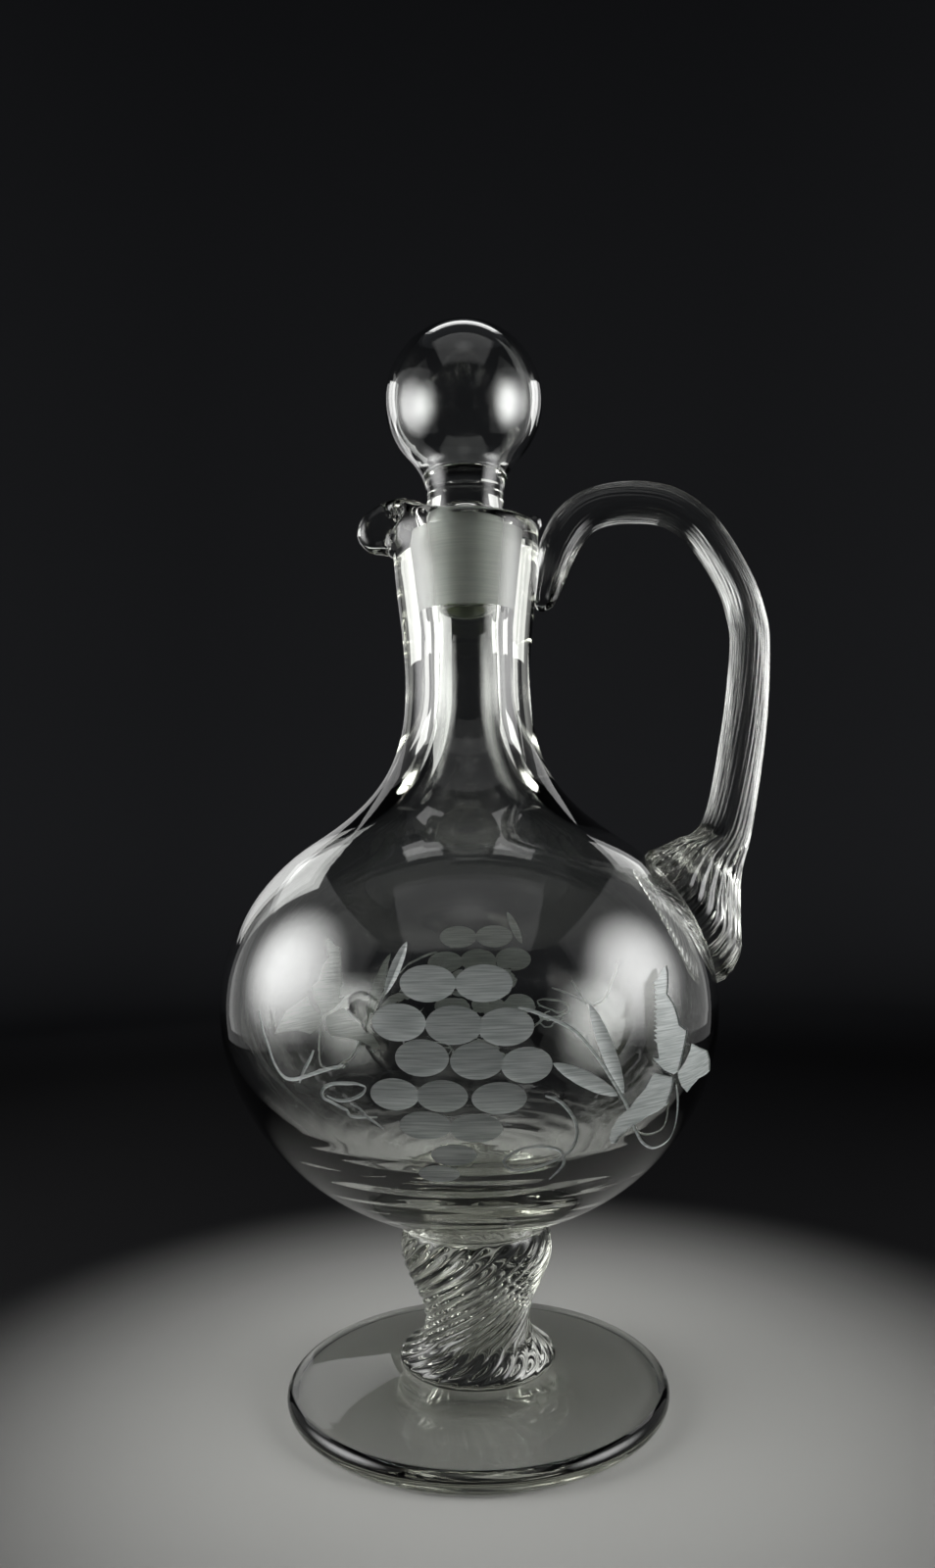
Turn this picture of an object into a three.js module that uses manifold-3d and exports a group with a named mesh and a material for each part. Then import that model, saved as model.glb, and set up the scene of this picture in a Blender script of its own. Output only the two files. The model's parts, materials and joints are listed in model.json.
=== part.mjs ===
// Stoppered glass wine carafe: a blown bulb with a pulled pouring lip, on a twisted ribbed stem
// and a disc foot, with a reeded handle and a hollow ball stopper ground into the mouth.
// Millimetres, +Z up, standing on z = 0. The lip points to -X and the handle to +X.

import * as THREE from 'three';
import { mergeVertices } from 'three/addons/utils/BufferGeometryUtils.js';
import Module from 'manifold-3d';

const wasm = await Module();
wasm.setup();

// Driving dimensions

// Foot: a flared disc, hollowed underneath so that it stands on a flat ring.
const footRadius = 49.4;
const footRimThickness = 5.3;
const footDomeRise = 3.9;
const footHollowRise = 2.4;
const footRingWidth = 3.2;

// Collar: the smooth ring of glass between foot and stem, with a rounded lower edge.
const collarRadius = 20.9;
const collarHeight = 7.5;
const collarRounding = 0.9;

// Stem: a knop with twisted ribs, narrow above the collar and widest under the bulb.
const stemHeight = 27.1;
const stemWaistRadius = 13.8;
const stemWaistRise = 3;
const stemKnopRadius = 19.9;
const stemKnopDrop = 5.6;
const stemTopRadius = 18.6;
const stemRootFlare = 0.4;
const stemRibs = 24;
const stemRibDepth = 0.9;
const stemTwistDegrees = 150;

// Bulb, shoulder and neck: one blown bubble on a short cone that sits on the stem. Its heights
// are counted from the equator, where the hand-blown bubble leans a little towards the lip.
const bulbRadius = 65.4;
const bulbDepth = 59;
const bulbLean = 1;
const seatConeRadius = 27;
const seatConeHeight = 4.6;
const crownHeight = 54;
const shoulderRise = 42.1;
const neckWaistRise = 84.1;
const neckWaistRadius = 17;
const rimRise = 128.6;
const mouthRadius = 20;
const bulbWall = 3.3;
const bulbBase = 8.5;
const boreRadius = 8.3;
const rimRounding = 1.8;

// Pouring lip: the hot rim pulled out over one side of the mouth. It leaves the neck lipRootDrop
// below the rim.
const lipRootDrop = 8.4;
const lipReach = 9.9;
const lipRise = 7.3;
const lipDrop = 6.9;
const lipChannelDepth = 3.2;

// Handle: a reeded cane, laid on the neck at the top and flared to a pad on the bulb. It stands
// furthest out gripDrop below the rim, where its middle is caneClearance past the bulb.
const caneRadius = 5.7;
const caneClearance = 12;
const archRise = 6.3;
const gripDrop = 30.6;
const tailLength = 24;
const padRise = 21.2;
const padHalfLength = 19.6;
const padHalfWidth = 15;
const handleRibs = 12;
const handleRibDepth = 0.6;
const handleTwistDegrees = 90;

// Stopper: a ground hollow plug whose solid head closes a blown ball.
const plugTipRadius = 8.4;
const plugDepth = 23.9;
const plugTaper = 0.073;
const plugWall = 2.8;
const plugHeadWall = 2;
const plugBevel = 0.6;
const stopperNeckRadius = 10.6;
const stopperNeckRise = 8.5;
const spigotRadius = 7.6;
const spigotHeight = 6;
const ballRadius = 21.9;
const ballRise = 26.9;
const ballWall = 2.6;
const ballCrownWall = 1.7;

// Clearances: between ground faces that part, and between curved faces that are joined hot.
const groundGap = 0.2;
const seamGap = 0.3;

// Facets round every turned piece; multiples of four keep the widest points exact.
const facets = 48;
const stopperFacets = 36;

// Places that follow from the dimensions
const footTop = footRimThickness + footDomeRise;
const stemBottom = footTop + collarHeight;
const stemTop = stemBottom + stemHeight;
const coneAngle = Math.acos(seatConeRadius / bulbRadius);
const equator = stemTop + seatConeHeight + bulbDepth * Math.sin(coneAngle);
const neckWaist = equator + neckWaistRise;
const rim = equator + rimRise;
const plugTip = rim - plugDepth;
const plugShoulder = rim + stopperNeckRise;
const ballCentre = plugShoulder + ballRise;

// Colours of the glass
const clearGlass = { color: 0xe9efec, roughness: 0.04, metalness: 0, transparent: true, opacity: 0.35 };
const groundGlass = { color: 0xdadfda, roughness: 0.6, metalness: 0, transparent: true, opacity: 0.6 };

const point = (r, z) => new THREE.Vector2(r, z);
const radians = THREE.MathUtils.degToRad;

// Joins stretches of a profile into one list and drops the points that two stretches share.
function joined(...stretches) {
  return stretches.flat().filter((p, i, all) => i === 0 || p.distanceTo(all[i - 1]) > 1e-6);
}

// Keeps positions only, merges shared corners and drops the triangles that shrink to a line.
function welded(geometry) {
  geometry.deleteAttribute('normal');
  geometry.deleteAttribute('uv');
  const merged = mergeVertices(geometry, 1e-5);
  const corners = merged.index.array;
  const kept = [];
  for (let i = 0; i < corners.length; i += 3) {
    const [a, b, c] = corners.slice(i, i + 3);
    if (a !== b && b !== c && c !== a) kept.push(a, b, c);
  }
  merged.setIndex(kept);
  return merged;
}

// Revolves a profile that starts and ends on the axis, and stands the axis upright.
function turned(profile, sides = facets) {
  const lathe = new THREE.LatheGeometry(profile, sides);
  lathe.rotateX(Math.PI / 2);
  return welded(lathe);
}

// Skins a row of rings, all with the same number of points, and fans both ends shut.
function lofted(rings, first, last) {
  const count = rings[0].length;
  const points = [first, ...rings.flat(), last];
  const end = points.length - 1;
  const corners = [];
  for (let k = 0; k < count; k++) {
    const next = (k + 1) % count;
    corners.push(0, 1 + next, 1 + k);
    for (let i = 0; i < rings.length - 1; i++) {
      const lower = 1 + i * count;
      const upper = lower + count;
      corners.push(lower + k, lower + next, upper + k);
      corners.push(lower + next, upper + next, upper + k);
    }
    corners.push(end, end - count + k, end - count + next);
  }
  const geometry = new THREE.BufferGeometry().setFromPoints(points);
  geometry.setIndex(corners);
  return welded(geometry);
}

function toSolid(geometry) {
  return new wasm.Manifold(new wasm.Mesh({
    numProp: 3,
    vertProperties: new Float32Array(geometry.attributes.position.array),
    triVerts: new Uint32Array(geometry.index.array),
  }));
}

function toGeometry(solid) {
  const { vertProperties, triVerts } = solid.getMesh();
  const geometry = new THREE.BufferGeometry();
  geometry.setAttribute('position', new THREE.BufferAttribute(vertProperties, 3));
  geometry.setIndex(new THREE.BufferAttribute(triVerts, 1));
  return geometry;
}

function piece(name, geometry, glass) {
  const mesh = new THREE.Mesh(geometry, new THREE.MeshStandardMaterial(glass));
  mesh.name = name;
  return mesh;
}

// Foot: flat ring, half-round rim, straight cone up to the collar, shallow hollow underneath.
function footGeometry() {
  const rimRadius = footRimThickness / 2;
  const ringOuter = footRadius - rimRadius;
  const ringInner = ringOuter - footRingWidth;
  const hollow = new THREE.QuadraticBezierCurve(
    point(0, footHollowRise),
    point(ringInner / 2, footHollowRise),
    point(ringInner, 0),
  );
  const edge = new THREE.EllipseCurve(ringOuter, rimRadius, rimRadius, rimRadius, -Math.PI / 2, Math.PI / 2);
  const dome = new THREE.QuadraticBezierCurve(
    point(ringOuter, footRimThickness),
    point((ringOuter + collarRadius) / 2, footRimThickness + footDomeRise * 0.35),
    point(collarRadius, footTop),
  );
  return turned(joined(hollow.getPoints(3), edge.getPoints(6), dome.getPoints(3), [point(0, footTop)]));
}

// Collar: a ring with a rounded lower edge that sweeps up to the waist of the stem.
function collarGeometry() {
  const topRadius = stemWaistRadius + stemRootFlare;
  const sweep = new THREE.CubicBezierCurve(
    point(collarRadius - collarRounding, footTop),
    point(collarRadius + collarRounding, footTop + collarHeight * 0.45),
    point(topRadius + collarRounding, footTop + collarHeight * 0.6),
    point(topRadius, stemBottom),
  );
  return turned([point(0, footTop), ...sweep.getPoints(6), point(0, stemBottom)]);
}

// Stem: the ribs lean over as they climb, and fade where they are pressed flat at both ends.
function stemRadiusAt(z) {
  const waist = stemBottom + stemWaistRise;
  const knop = stemTop - stemKnopDrop;
  if (z <= waist) return stemWaistRadius + stemRootFlare * ((waist - z) / stemWaistRise) ** 2;
  if (z <= knop) {
    const climb = (z - waist) / (knop - waist);
    return stemWaistRadius + (stemKnopRadius - stemWaistRadius) * (1 - Math.cos(Math.PI * climb)) / 2;
  }
  const drop = Math.min(1, (z - knop) / stemKnopDrop);
  return stemTopRadius + (stemKnopRadius - stemTopRadius) * Math.sqrt(1 - drop * drop);
}

function stemGeometry() {
  const steps = 12;
  const pointsPerRib = 4;
  const rings = [];
  for (let i = 0; i <= steps; i++) {
    const climb = i / steps;
    const z = stemBottom + stemHeight * Math.sin(climb * Math.PI / 2);
    const height = (z - stemBottom) / stemHeight;
    const twist = radians(stemTwistDegrees) * (1 - (1 - height) ** 1.5);
    const depth = stemRibDepth * Math.min(1, 6 * (1 - height), 0.4 + 3 * height);
    const ring = [];
    for (let k = 0; k < stemRibs * pointsPerRib; k++) {
      const turn = 2 * Math.PI * k / (stemRibs * pointsPerRib);
      const groove = depth * (1 - Math.cos(stemRibs * turn)) / 2;
      const r = stemRadiusAt(z) - groove;
      ring.push(new THREE.Vector3(r * Math.cos(turn + twist), r * Math.sin(turn + twist), z));
    }
    rings.push(ring);
  }
  return lofted(rings, new THREE.Vector3(0, 0, stemBottom), new THREE.Vector3(0, 0, stemTop));
}

// Bulb, outside: the cone on the stem, half an ellipse below the equator, part of another above
// it, then the sweep into the neck and the slightly flared neck up to where the lip starts.
function vesselOutline() {
  const lipRoot = rim - lipRootDrop;
  const shoulderAngle = Math.asin(shoulderRise / crownHeight);
  const lower = new THREE.EllipseCurve(0, equator, bulbRadius, bulbDepth, -coneAngle, 0);
  const crown = new THREE.EllipseCurve(0, equator, bulbRadius, crownHeight, 0, shoulderAngle);
  const shoulder = point(bulbRadius * Math.cos(shoulderAngle), equator + shoulderRise);
  const slope = point(-bulbRadius * Math.sin(shoulderAngle), crownHeight * Math.cos(shoulderAngle)).normalize();
  const waist = point(neckWaistRadius, neckWaist);
  const sweepLength = waist.y - shoulder.y;
  const sweep = new THREE.CubicBezierCurve(
    shoulder,
    shoulder.clone().addScaledVector(slope, 0.43 * sweepLength),
    point(waist.x, waist.y - 0.55 * sweepLength),
    waist,
  );
  const neckLength = lipRoot - waist.y;
  const neck = new THREE.CubicBezierCurve(
    waist,
    point(waist.x, waist.y + 0.34 * neckLength),
    point(THREE.MathUtils.lerp(waist.x, mouthRadius, 0.7), waist.y + 0.6 * neckLength),
    point(mouthRadius, lipRoot),
  );
  const seat = point(stemTopRadius, stemTop);
  return joined([seat], lower.getPoints(9), crown.getPoints(5), sweep.getPoints(7), neck.getPoints(4));
}

// The radius of a profile that only climbs, at one height.
function radiusAt(outline, z) {
  const i = Math.max(1, outline.findIndex((p) => p.y >= z));
  const low = outline[i - 1];
  const high = outline[i];
  return THREE.MathUtils.lerp(low.x, high.x, (z - low.y) / (high.y - low.y));
}

// Radius of the ground socket that the plug sits in, on the plug's own taper.
const socketRadius = (z) => plugTipRadius + groundGap + plugTaper * (z - plugTip);

// Bulb, inside: from the mouth down the ground socket and the bore into the hollow.
function vesselHollow() {
  const boreTop = plugTip - (plugTipRadius + groundGap - boreRadius) / plugTaper;
  const innerRadius = bulbRadius - bulbWall;
  const innerCrown = crownHeight - bulbWall;
  const shoulderAngle = Math.asin(shoulderRise / crownHeight);
  const shoulder = point(innerRadius * Math.cos(shoulderAngle), equator + innerCrown * Math.sin(shoulderAngle));
  const slope = point(-innerRadius * Math.sin(shoulderAngle), innerCrown * Math.cos(shoulderAngle)).normalize();
  const sweepLength = neckWaist - shoulder.y;
  const sweep = new THREE.CubicBezierCurve(
    point(boreRadius, neckWaist),
    point(boreRadius, neckWaist - 0.55 * sweepLength),
    shoulder.clone().addScaledVector(slope, 0.45 * sweepLength),
    shoulder,
  );
  const floor = stemTop + bulbBase;
  const crown = new THREE.EllipseCurve(0, equator, innerRadius, innerCrown, shoulderAngle, 0, true);
  const lower = new THREE.EllipseCurve(0, equator, innerRadius, equator - floor, 0, -Math.PI / 2, true);
  const hollow = joined([point(boreRadius, boreTop)], sweep.getPoints(6), crown.getPoints(4), lower.getPoints(7));
  return hollow.slice(0, -1);
}

// Rim rows over the mouth, from the root of the lip to the socket: each has its radius and rise
// above the rim on the plain part, and then on the middle of the pulled lip.
function mouthRows() {
  const inner = socketRadius(rim);
  const land = mouthRadius - rimRounding - inner;
  const bevel = 0.3 * rimRounding;
  const tip = mouthRadius + lipReach;
  const throat = rim - rimRounding;
  const row = (plainR, plainZ, lipR, lipZ) => ({ plain: point(plainR, plainZ), lip: point(lipR, lipZ) });
  return [
    row(mouthRadius, rim - lipDrop, mouthRadius + 0.25 * lipReach, rim - lipDrop),
    row(mouthRadius, rim - 0.6 * lipDrop, mouthRadius + 0.7 * lipReach, rim - 0.92 * lipDrop),
    row(mouthRadius, rim - rimRounding, tip, rim - 0.36 * lipDrop),
    row(mouthRadius - bevel, rim - bevel, tip - 0.16 * lipReach, rim + 0.3 * lipRise),
    row(mouthRadius - rimRounding, rim, mouthRadius + 0.45 * lipReach, rim + 0.75 * lipRise),
    row(inner + 0.67 * land, rim, inner + 1.19 * land, rim + lipRise),
    row(inner + 0.25 * land, rim, inner + 0.56 * land, rim + 0.7 * lipRise),
    row(inner + bevel, rim - bevel, inner + 2 * bevel, rim + 0.12 * lipRise),
    row(socketRadius(throat), throat, socketRadius(throat), throat),
  ];
}

// How far the bubble's centre lies off the axis at one height.
function leanAt(z) {
  const climb = THREE.MathUtils.clamp((z - stemTop) / (neckWaist - stemTop), 0, 1);
  return -bulbLean * Math.sin(Math.PI * climb) ** 2;
}

// One ring round the vessel; place gives radius and height at each turn.
function ringOf(place) {
  const ring = [];
  for (let k = 0; k < facets; k++) {
    const turn = 2 * Math.PI * k / facets;
    const p = place(turn);
    ring.push(new THREE.Vector3(leanAt(p.y) + p.x * Math.cos(turn), p.x * Math.sin(turn), p.y));
  }
  return ring;
}

function bulbGeometry(outline) {
  const rings = outline.map((p) => ringOf(() => p));
  for (const { plain, lip } of mouthRows()) {
    rings.push(ringOf((turn) => {
      const facing = Math.max(0, -Math.cos(turn));
      const pull = facing ** 10;
      const lift = lip.y > plain.y ? facing ** 2.4 : pull;
      const channel = lip.y > rim + 0.5 * lipRise ? lipChannelDepth * facing ** 60 : 0;
      return point(
        THREE.MathUtils.lerp(plain.x, lip.x, pull),
        THREE.MathUtils.lerp(plain.y, lip.y, lift) - channel,
      );
    }));
  }
  rings.push(...vesselHollow().map((p) => ringOf(() => p)));
  const floor = new THREE.Vector3(0, 0, stemTop + bulbBase);
  return lofted(rings, new THREE.Vector3(0, 0, stemTop), floor);
}

// Handle: stations along the cane, each with its place, heading, half thickness and half width.
// The upper ones are set out between the mouth and the furthest point, the grip from the rim
// down, and the pad from its own seat on the bulb.
function handleStations(outline) {
  const station = (x, z, heading, thick, wide) => ({ x, z, heading, thick, wide });
  const cane = (x, z, heading, thick, wide) => station(x, z, heading, thick * caneRadius, wide * caneRadius);
  const onNeck = (drop) => radiusAt(outline, rim - drop);
  const reach = bulbRadius + caneClearance;
  const along = (share) => THREE.MathUtils.lerp(mouthRadius, reach, share);
  const padZ = equator + padRise;
  const padR = radiusAt(outline, padZ);
  const normal = Math.atan2(padRise / crownHeight ** 2, padR / bulbRadius ** 2);
  const pad = (out, up, heading, thick, wide) => station(
    padR + leanAt(padZ) + padHalfLength * (out * Math.cos(normal) - up * Math.sin(normal)),
    padZ + padHalfLength * (out * Math.sin(normal) + up * Math.cos(normal)),
    heading, thick * padHalfLength, wide * padHalfWidth,
  );
  return [
    cane(onNeck(tailLength) + 0.16 * caneRadius, rim - tailLength, 90, 0.16, 0.39),
    cane(onNeck(0.73 * tailLength) + 0.28 * caneRadius, rim - 0.73 * tailLength, 84, 0.51, 0.81),
    cane(along(0.07), rim - 0.245 * gripDrop, 66, 0.82, 1.07),
    cane(along(0.166), rim + 0.08 * archRise, 46, 1, 1.09),
    cane(along(0.287), rim + 0.8 * archRise, 20, 1, 1.05),
    cane(along(0.465), rim + archRise, -4, 1.03, 1),
    cane(along(0.725), rim, -38, 0.93, 0.93),
    cane(along(0.962), rim - 0.556 * gripDrop, -70, 0.9, 0.9),
    cane(along(1), rim - gripDrop, -86, 0.95, 0.95),
    cane(along(0.958), rim - 1.886 * gripDrop, -98, 1.05, 1),
    pad(1.056, 0.857, -101, 0.343, 0.418),
    pad(0.602, 0.587, -119, 0.51, 0.55),
    pad(0.306, 0.332, -132, 0.74, 0.78),
    pad(0.138, 0.133, -141, 0.93, 0.96),
    pad(-0.066, 0.026, -149, 1, 1),
    pad(-0.255, 0.015, -150, 0.97, 0.96),
  ];
}

// Smooth value between stations, by the Catmull-Rom rule.
function eased(stations, key, position) {
  const i = Math.min(Math.floor(position), stations.length - 2);
  const at = (k) => stations[THREE.MathUtils.clamp(k, 0, stations.length - 1)][key];
  const t = position - i;
  const [a, b, c, d] = [at(i - 1), at(i), at(i + 1), at(i + 2)];
  return b + 0.5 * t * (c - a + t * (2 * a - 5 * b + 4 * c - d + t * (3 * (b - c) + d - a)));
}

// The vessel's outside grown by the seam, to cut the seats of the tail and the pad.
function seamCutter(outline) {
  const grown = outline.map((p, i) => {
    const before = outline[Math.max(0, i - 1)];
    const after = outline[Math.min(outline.length - 1, i + 1)];
    const along = after.clone().sub(before).normalize();
    return point(p.x + seamGap * along.y, p.y - seamGap * along.x);
  });
  const top = rim - rimRounding;
  const first = grown[0];
  const inset = point(mouthRadius - rimRounding, rim + seamGap);
  const profile = [...grown, point(mouthRadius + seamGap, top), inset];
  return lofted(
    profile.map((p) => ringOf(() => p)),
    new THREE.Vector3(0, 0, first.y),
    new THREE.Vector3(0, 0, inset.y),
  );
}

// Positions between the stations that are evenly spaced along the cane, counting its swelling.
function evenPositions(stations, steps) {
  const fine = 400;
  const positions = Array.from({ length: fine + 1 }, (_, i) => i * (stations.length - 1) / fine);
  const read = (p) => ['x', 'z', 'thick'].map((key) => eased(stations, key, p));
  const at = positions.map((p) => new THREE.Vector3(...read(p)));
  const walked = [0];
  for (let i = 1; i <= fine; i++) walked.push(walked[i - 1] + at[i].distanceTo(at[i - 1]));
  return Array.from({ length: steps + 1 }, (_, i) => {
    const goal = walked[fine] * i / steps;
    return positions[Math.max(0, walked.findIndex((length) => length >= goal - 1e-9))];
  });
}

// The ribs are drawn out deeper on the pad, where the cane is thickest.
function handleGeometry(outline) {
  const stations = handleStations(outline);
  const steps = 32;
  const pointsPerRib = 3;
  const padThickness = 1.4 * caneRadius;
  const padDeepening = 1.8;
  const positions = evenPositions(stations, steps);
  const rings = [];
  const centres = [];
  for (let i = 0; i <= steps; i++) {
    const read = (key) => eased(stations, key, positions[i]);
    const [x, z, heading, thick, wide] = ['x', 'z', 'heading', 'thick', 'wide'].map(read);
    const across = new THREE.Vector3(Math.sin(radians(heading)), 0, -Math.cos(radians(heading)));
    const centre = new THREE.Vector3(x, 0, z);
    const twist = radians(handleTwistDegrees) * i / steps;
    const deepening = thick > padThickness ? padDeepening : Math.min(1, thick / caneRadius);
    const ribDepth = handleRibDepth * deepening;
    const ring = [];
    for (let k = 0; k < handleRibs * pointsPerRib; k++) {
      const turn = 2 * Math.PI * k / (handleRibs * pointsPerRib);
      const crest = 1 - ribDepth * (1 - Math.cos(handleRibs * turn)) / 2 / thick;
      const p = centre.clone().addScaledVector(across, thick * crest * Math.cos(turn + twist));
      p.y = wide * crest * Math.sin(turn + twist);
      ring.push(p);
    }
    rings.push(ring);
    centres.push(centre);
  }
  const cane = toSolid(lofted(rings, centres[0], centres.at(-1)));
  return toGeometry(cane.subtract(toSolid(seamCutter(outline))));
}

// Stopper plug: a ground cone with a domed hollow that is open at the tip, a plain neck above
// the mouth, and a solid spigot that closes the ball.
function plugGeometry() {
  const coneTop = plugTip + (stopperNeckRadius - plugTipRadius) / plugTaper;
  const neckStart = Math.min(coneTop, plugShoulder - plugBevel);
  const innerTip = plugTipRadius - plugWall;
  const hollowTop = plugShoulder - plugHeadWall;
  const domeStart = hollowTop - 0.9 * innerTip;
  const innerTop = innerTip + plugTaper * (domeStart - plugTip);
  const dome = new THREE.EllipseCurve(0, domeStart, innerTop, hollowTop - domeStart, Math.PI / 2, 0, true);
  const spigotTop = plugShoulder + spigotHeight;
  return turned(joined(
    dome.getPoints(5),
    [point(innerTip, plugTip + plugBevel), point(innerTip + plugBevel, plugTip)],
    [point(plugTipRadius - plugBevel, plugTip)],
    [point(plugTipRadius + plugBevel * plugTaper, plugTip + plugBevel)],
    [point(stopperNeckRadius, neckStart), point(stopperNeckRadius, plugShoulder)],
    [point(spigotRadius, plugShoulder), point(spigotRadius, spigotTop), point(0, spigotTop)],
  ), stopperFacets);
}

// Stopper ball: blown thin, with a thick short neck that is open for the plug's spigot. The
// neck flares into the ball at flareAngle below its middle.
function ballGeometry() {
  const flareAngle = radians(-42.4);
  const flareRise = 0.75 * spigotHeight;
  const socket = spigotRadius + groundGap;
  const flare = point(ballRadius * Math.cos(flareAngle), ballCentre + ballRadius * Math.sin(flareAngle));
  const slope = point(Math.sin(flareAngle), -Math.cos(flareAngle));
  const neck = new THREE.CubicBezierCurve(
    point(stopperNeckRadius, plugShoulder),
    point(stopperNeckRadius, plugShoulder + flareRise),
    flare.clone().addScaledVector(slope, flareRise),
    flare,
  );
  const below = new THREE.EllipseCurve(0, ballCentre, ballRadius, ballRadius, flareAngle, 0);
  const above = new THREE.EllipseCurve(0, ballCentre, ballRadius, ballRadius, 0, Math.PI / 2);
  const innerRadius = ballRadius - ballWall;
  const innerCrown = ballRadius - ballCrownWall;
  const floor = plugShoulder + spigotHeight;
  const floorAngle = Math.asin((floor + ballCrownWall / 2 - ballCentre) / innerCrown);
  const inside = new THREE.EllipseCurve(0, ballCentre, innerRadius, innerCrown, Math.PI / 2, floorAngle, true);
  return turned(joined(
    neck.getPoints(4),
    below.getPoints(4),
    above.getPoints(7),
    inside.getPoints(8),
    [point(socket, floor), point(socket, plugShoulder), point(stopperNeckRadius, plugShoulder)],
  ), stopperFacets);
}

// Assembly, set out round the vessel's axis
const outline = vesselOutline();
const carafe = new THREE.Group();
carafe.add(
  piece('foot', footGeometry(), clearGlass),
  piece('foot_collar', collarGeometry(), clearGlass),
  piece('stem', stemGeometry(), clearGlass),
  piece('bulb', bulbGeometry(outline), clearGlass),
  piece('handle', handleGeometry(outline), clearGlass),
);

const stopper = new THREE.Group();
stopper.add(
  piece('stopper_plug', plugGeometry(), groundGlass),
  piece('stopper_ball', ballGeometry(), clearGlass),
);
carafe.add(stopper);

// The handle reaches further out than the bulb, so the whole is moved until it stands centred.
const box = new THREE.Box3().setFromObject(carafe);
carafe.position.x = -(box.min.x + box.max.x) / 2;

const part = new THREE.Group();
part.add(carafe);

export default part;
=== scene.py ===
"""Stoppered glass wine carafe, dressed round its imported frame."""

import json
import math

import bpy
from mathutils import Matrix, Vector, noise
from mathutils.geometry import interpolate_bezier

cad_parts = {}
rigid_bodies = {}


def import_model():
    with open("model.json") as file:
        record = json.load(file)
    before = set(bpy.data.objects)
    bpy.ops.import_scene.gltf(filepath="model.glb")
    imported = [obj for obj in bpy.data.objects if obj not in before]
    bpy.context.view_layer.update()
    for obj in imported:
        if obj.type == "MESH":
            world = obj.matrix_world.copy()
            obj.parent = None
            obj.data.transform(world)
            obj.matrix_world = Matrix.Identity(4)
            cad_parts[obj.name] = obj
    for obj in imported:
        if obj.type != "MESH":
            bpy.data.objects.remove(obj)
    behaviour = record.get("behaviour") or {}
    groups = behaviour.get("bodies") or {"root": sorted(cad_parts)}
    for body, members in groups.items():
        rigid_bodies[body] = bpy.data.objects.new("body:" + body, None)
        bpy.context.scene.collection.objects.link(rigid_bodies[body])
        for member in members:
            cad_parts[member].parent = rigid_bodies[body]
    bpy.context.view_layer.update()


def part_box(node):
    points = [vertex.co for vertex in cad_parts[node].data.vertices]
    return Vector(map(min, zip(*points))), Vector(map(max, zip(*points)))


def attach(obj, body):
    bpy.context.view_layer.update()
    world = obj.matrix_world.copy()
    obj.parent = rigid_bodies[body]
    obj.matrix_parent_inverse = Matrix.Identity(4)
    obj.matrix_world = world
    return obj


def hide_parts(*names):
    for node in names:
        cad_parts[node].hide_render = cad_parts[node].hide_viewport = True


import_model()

# Foot
# A disc of clear soda-lime glass, spun out flat while it was hot. It is a little hollow
# underneath, so that it stands on a ring, and its rim is fire-polished round.
MM = 0.001
foot_low, foot_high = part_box("foot")
axis_x = (foot_low.x + foot_high.x) / 2
foot_radius = (foot_high.x - foot_low.x) / 2 / MM
foot_top = foot_high.z / MM
foot_rim = 5.3
foot_ring_width = 0.6
foot_hollow = 2.4
hollow_flare = 0.8
collar_radius = 20.9


def arc(centre, reach, start, end, steps):
    """Points (radius, height) along part of an ellipse, between two angles in degrees."""
    turns = [math.radians(start + (end - start) * i / steps) for i in range(steps + 1)]
    return [(centre[0] + reach[0] * math.cos(t), centre[1] + reach[1] * math.sin(t)) for t in turns]


def sweep(start, towards, out_of, end, steps):
    """Points (radius, height) along a Bezier curve from start to end."""
    knots = [Vector((*p, 0)) for p in (start, towards, out_of, end)]
    return [(p.x, p.y) for p in interpolate_bezier(*knots, steps + 1)]


def part_way(a, b, share):
    """The point, or the number, that lies a share of the way from a to b."""
    if isinstance(a, tuple):
        return tuple(part_way(p, q, share) for p, q in zip(a, b))
    return a + (b - a) * share


rim_centre = foot_radius - foot_rim / 2
hollow_edge = rim_centre - foot_ring_width
foot_outline = sweep(
    (0, foot_hollow),
    (0.33 * hollow_edge, foot_hollow),
    (0.67 * hollow_edge, hollow_flare),
    (hollow_edge, 0),
    10,
)
foot_outline += arc((rim_centre, foot_rim / 2), (foot_rim / 2, foot_rim / 2), -90, 90, 14)
foot_outline += sweep(
    foot_outline[-1],
    (part_way(rim_centre, collar_radius, 0.33), foot_rim + 0.1 * (foot_top - foot_rim)),
    (part_way(rim_centre, collar_radius, 0.67), foot_rim + 0.45 * (foot_top - foot_rim)),
    (collar_radius, foot_top),
    10,
)[1:]

# Collar
# The ring of glass that was dropped on the foot to take the stem: round at its lower edge,
# drawn up to the waist of the stem.
collar_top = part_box("foot_collar")[1].z / MM
collar_rounding = 0.9
waist_radius = 13.8
root_flare = 0.4
collar_height = collar_top - foot_top
collar_outline = sweep(
    (collar_radius - collar_rounding, foot_top),
    (collar_radius + collar_rounding, foot_top + 0.45 * collar_height),
    (waist_radius + root_flare + collar_rounding, foot_top + 0.6 * collar_height),
    (waist_radius + root_flare, collar_top),
    14,
)

# Stem
# A knop of glass that was blown into a ribbed mould, then twisted as it was drawn, so that its
# ribs lean over most at the waist. It is widest just under the bulb.
stem_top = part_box("stem")[1].z / MM
stem_height = stem_top - collar_top
waist_rise = 3
knop_radius = 19.9
knop_drop = 5.6
seat_radius = 18.6
ribs = 24
rib_depth = 1.0
rib_sharpness = 0.8
stem_twist = 150
stem_steps = 48


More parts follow.
